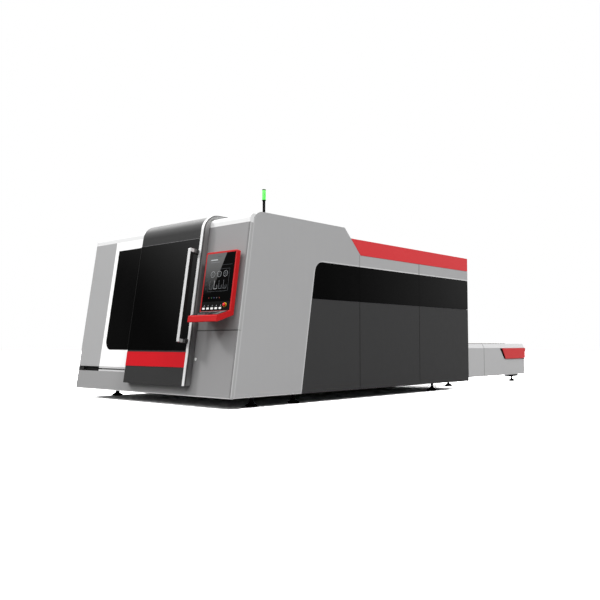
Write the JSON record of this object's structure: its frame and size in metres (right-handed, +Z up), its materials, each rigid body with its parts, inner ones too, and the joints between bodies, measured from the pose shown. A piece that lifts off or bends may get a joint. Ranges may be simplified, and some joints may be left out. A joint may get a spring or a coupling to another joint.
{
  "type": "laser cutting machine",
  "caption": "Enclosed fiber laser cutting machine with a leaning front, a sliding glass door, an operator console and an exchange table that swaps sheet pallets.",
  "frame": {"origin": "on the floor, at the middle of the machine's footprint in both directions", "axes": "+X to the operator's right, +Y from the operator's side to the exchange table, +Z up"},
  "size_m": [3.2, 8.8608, 2.589],
  "materials": {
    "light_paint": "satin",
    "white_paint": "satin",
    "dark_paint": "satin",
    "gloss_black": "gloss",
    "red_paint": "satin",
    "frame_paint": "satin",
    "bed_paint": "satin",
    "bare_steel": "satin",
    "polished": "polished",
    "door_glass": "clear",
    "dark_glass": "clear",
    "feet_black": "satin",
    "green_lens": "gloss",
    "key_white": "matte",
    "stop_red": "gloss",
    "keyboard_black": "matte",
    "aluminium": "satin",
    "slat_steel": "matte",
    "cover_grey": "satin",
    "motor_black": "satin"
  },
  "bodies": {
    "machine": {"right_cheek": "light_paint", "left_cheek": "light_paint", "right_lower_panels": "dark_paint", "left_lower_panels": "dark_paint", "right_window_band": "gloss_black", "left_window_band": "gloss_black", "upper_strips": "light_paint", "right_roof_beam": "red_paint", "left_roof_beam": "red_paint", "front_plinth": "light_paint", "front_column": "light_paint", "front_panel": "white_paint", "front_window": "dark_glass", "console_panel": "light_paint", "front_hood": "light_paint", "roof_panels": "light_paint", "rear_wall": "light_paint", "enclosure_frame": "frame_paint", "door_tracks": "bare_steel", "service_cover": "light_paint", "console_housing": "red_paint", "console_screen": "gloss_black", "console_keyboard": "keyboard_black", "signal_pole": "feet_black", "signal_lamp": "green_lens", "machine_bed": "bed_paint", "gantry_rails": "bare_steel", "slag_hopper": "frame_paint", "laser_source": "cover_grey", "table_frame": "bed_paint", "table_side_covers": "cover_grey", "table_end_cover": "cover_grey", "table_corner_caps": "red_paint", "pallet_rails": "bare_steel", "shuttle_chains": "feet_black", "shuttle_motor": "motor_black", "levelling_feet": "feet_black"},
    "door": {"door_shell": "dark_paint", "door_glass": "door_glass", "door_stripe": "red_paint", "door_edge_strip": "polished", "door_handle": "polished", "door_guides": "frame_paint"},
    "lock": {"service_lock": "polished"},
    "stop": {"stop_button": "stop_red"},
    "gantry": {"gantry_beam": "aluminium"},
    "carriage": {"carriage": "aluminium"},
    "height_slide": {"height_slide": "motor_black", "cutting_head": "aluminium"},
    "upper_pallet": {"upper_pallet": "bed_paint", "upper_slats": "slat_steel"},
    "lower_pallet": {"lower_pallet": "bed_paint", "lower_slats": "slat_steel"},
    "drive_shaft": {"shuttle_drive_shaft": "bare_steel"},
    "idlers": {"shuttle_idlers": "bare_steel"},
    "key_1": {"push_key_1": "key_white"},
    "key_2": {"push_key_2": "key_white"},
    "key_3": {"push_key_3": "key_white"},
    "key_4": {"push_key_4": "key_white"},
    "key_5": {"push_key_5": "key_white"}
  },
  "joints": [
    {"name": "door_slide", "type": "slide", "parent": "machine", "child": "door", "axis": [-1, 0, 0], "range_m": [0, 1.05]},
    {"name": "lock_turn", "type": "hinge", "parent": "machine", "child": "lock", "pos_m": [0.939, -4.21229, 0.56], "axis": [0, -0.9889, 0.1483], "range_deg": [0, 90]},
    {"name": "gantry_travel", "type": "slide", "parent": "machine", "child": "gantry", "axis": [0, 1, 0], "range_m": [0, 3.4]},
    {"name": "carriage_travel", "type": "slide", "parent": "gantry", "child": "carriage", "axis": [1, 0, 0], "range_m": [-0.75, 0.75]},
    {"name": "height_travel", "type": "slide", "parent": "carriage", "child": "height_slide", "axis": [0, 0, -1], "range_m": [0, 0.3]},
    {"name": "upper_pallet_travel", "type": "slide", "parent": "machine", "child": "upper_pallet", "axis": [0, 1, 0], "range_m": [-3.9, 0]},
    {"name": "lower_pallet_travel", "type": "slide", "parent": "machine", "child": "lower_pallet", "axis": [0, 1, 0], "range_m": [0, 3.9]},
    {"name": "drive_shaft_spin", "type": "hinge", "parent": "machine", "child": "drive_shaft", "pos_m": [0, 4.33336, 0.534], "axis": [1, 0, 0], "range_deg": [0, 4218]},
    {"name": "idler_spin", "type": "hinge", "parent": "machine", "child": "idlers", "pos_m": [0, 1.12336, 0.534], "axis": [1, 0, 0], "range_deg": [0, 4218]},
    {"name": "key_1_press", "type": "slide", "parent": "machine", "child": "key_1", "axis": [0, 0.9889, -0.1483], "range_m": [0, 0.003], "stiffness_N_per_m": 700, "springref_m": -0.001},
    {"name": "key_2_press", "type": "slide", "parent": "machine", "child": "key_2", "axis": [0, 0.9889, -0.1483], "range_m": [0, 0.003], "stiffness_N_per_m": 700, "springref_m": -0.001},
    {"name": "key_3_press", "type": "slide", "parent": "machine", "child": "key_3", "axis": [0, 0.9889, -0.1483], "range_m": [0, 0.003], "stiffness_N_per_m": 700, "springref_m": -0.001},
    {"name": "key_4_press", "type": "slide", "parent": "machine", "child": "key_4", "axis": [0, 0.9889, -0.1483], "range_m": [0, 0.003], "stiffness_N_per_m": 700, "springref_m": -0.001},
    {"name": "key_5_press", "type": "slide", "parent": "machine", "child": "key_5", "axis": [0, 0.9889, -0.1483], "range_m": [0, 0.003], "stiffness_N_per_m": 700, "springref_m": -0.001},
    {"name": "stop_press", "type": "slide", "parent": "machine", "child": "stop", "axis": [0, 0.9889, -0.1483], "range_m": [0, 0.005]}
  ],
  "couplings": [
    {"joint": "lower_pallet_travel", "follows": "upper_pallet_travel", "ratio": -1},
    {"joint": "drive_shaft_spin", "follows": "upper_pallet_travel", "rad_per_m": -18.868},
    {"joint": "idler_spin", "follows": "upper_pallet_travel", "rad_per_m": -18.868}
  ]
}
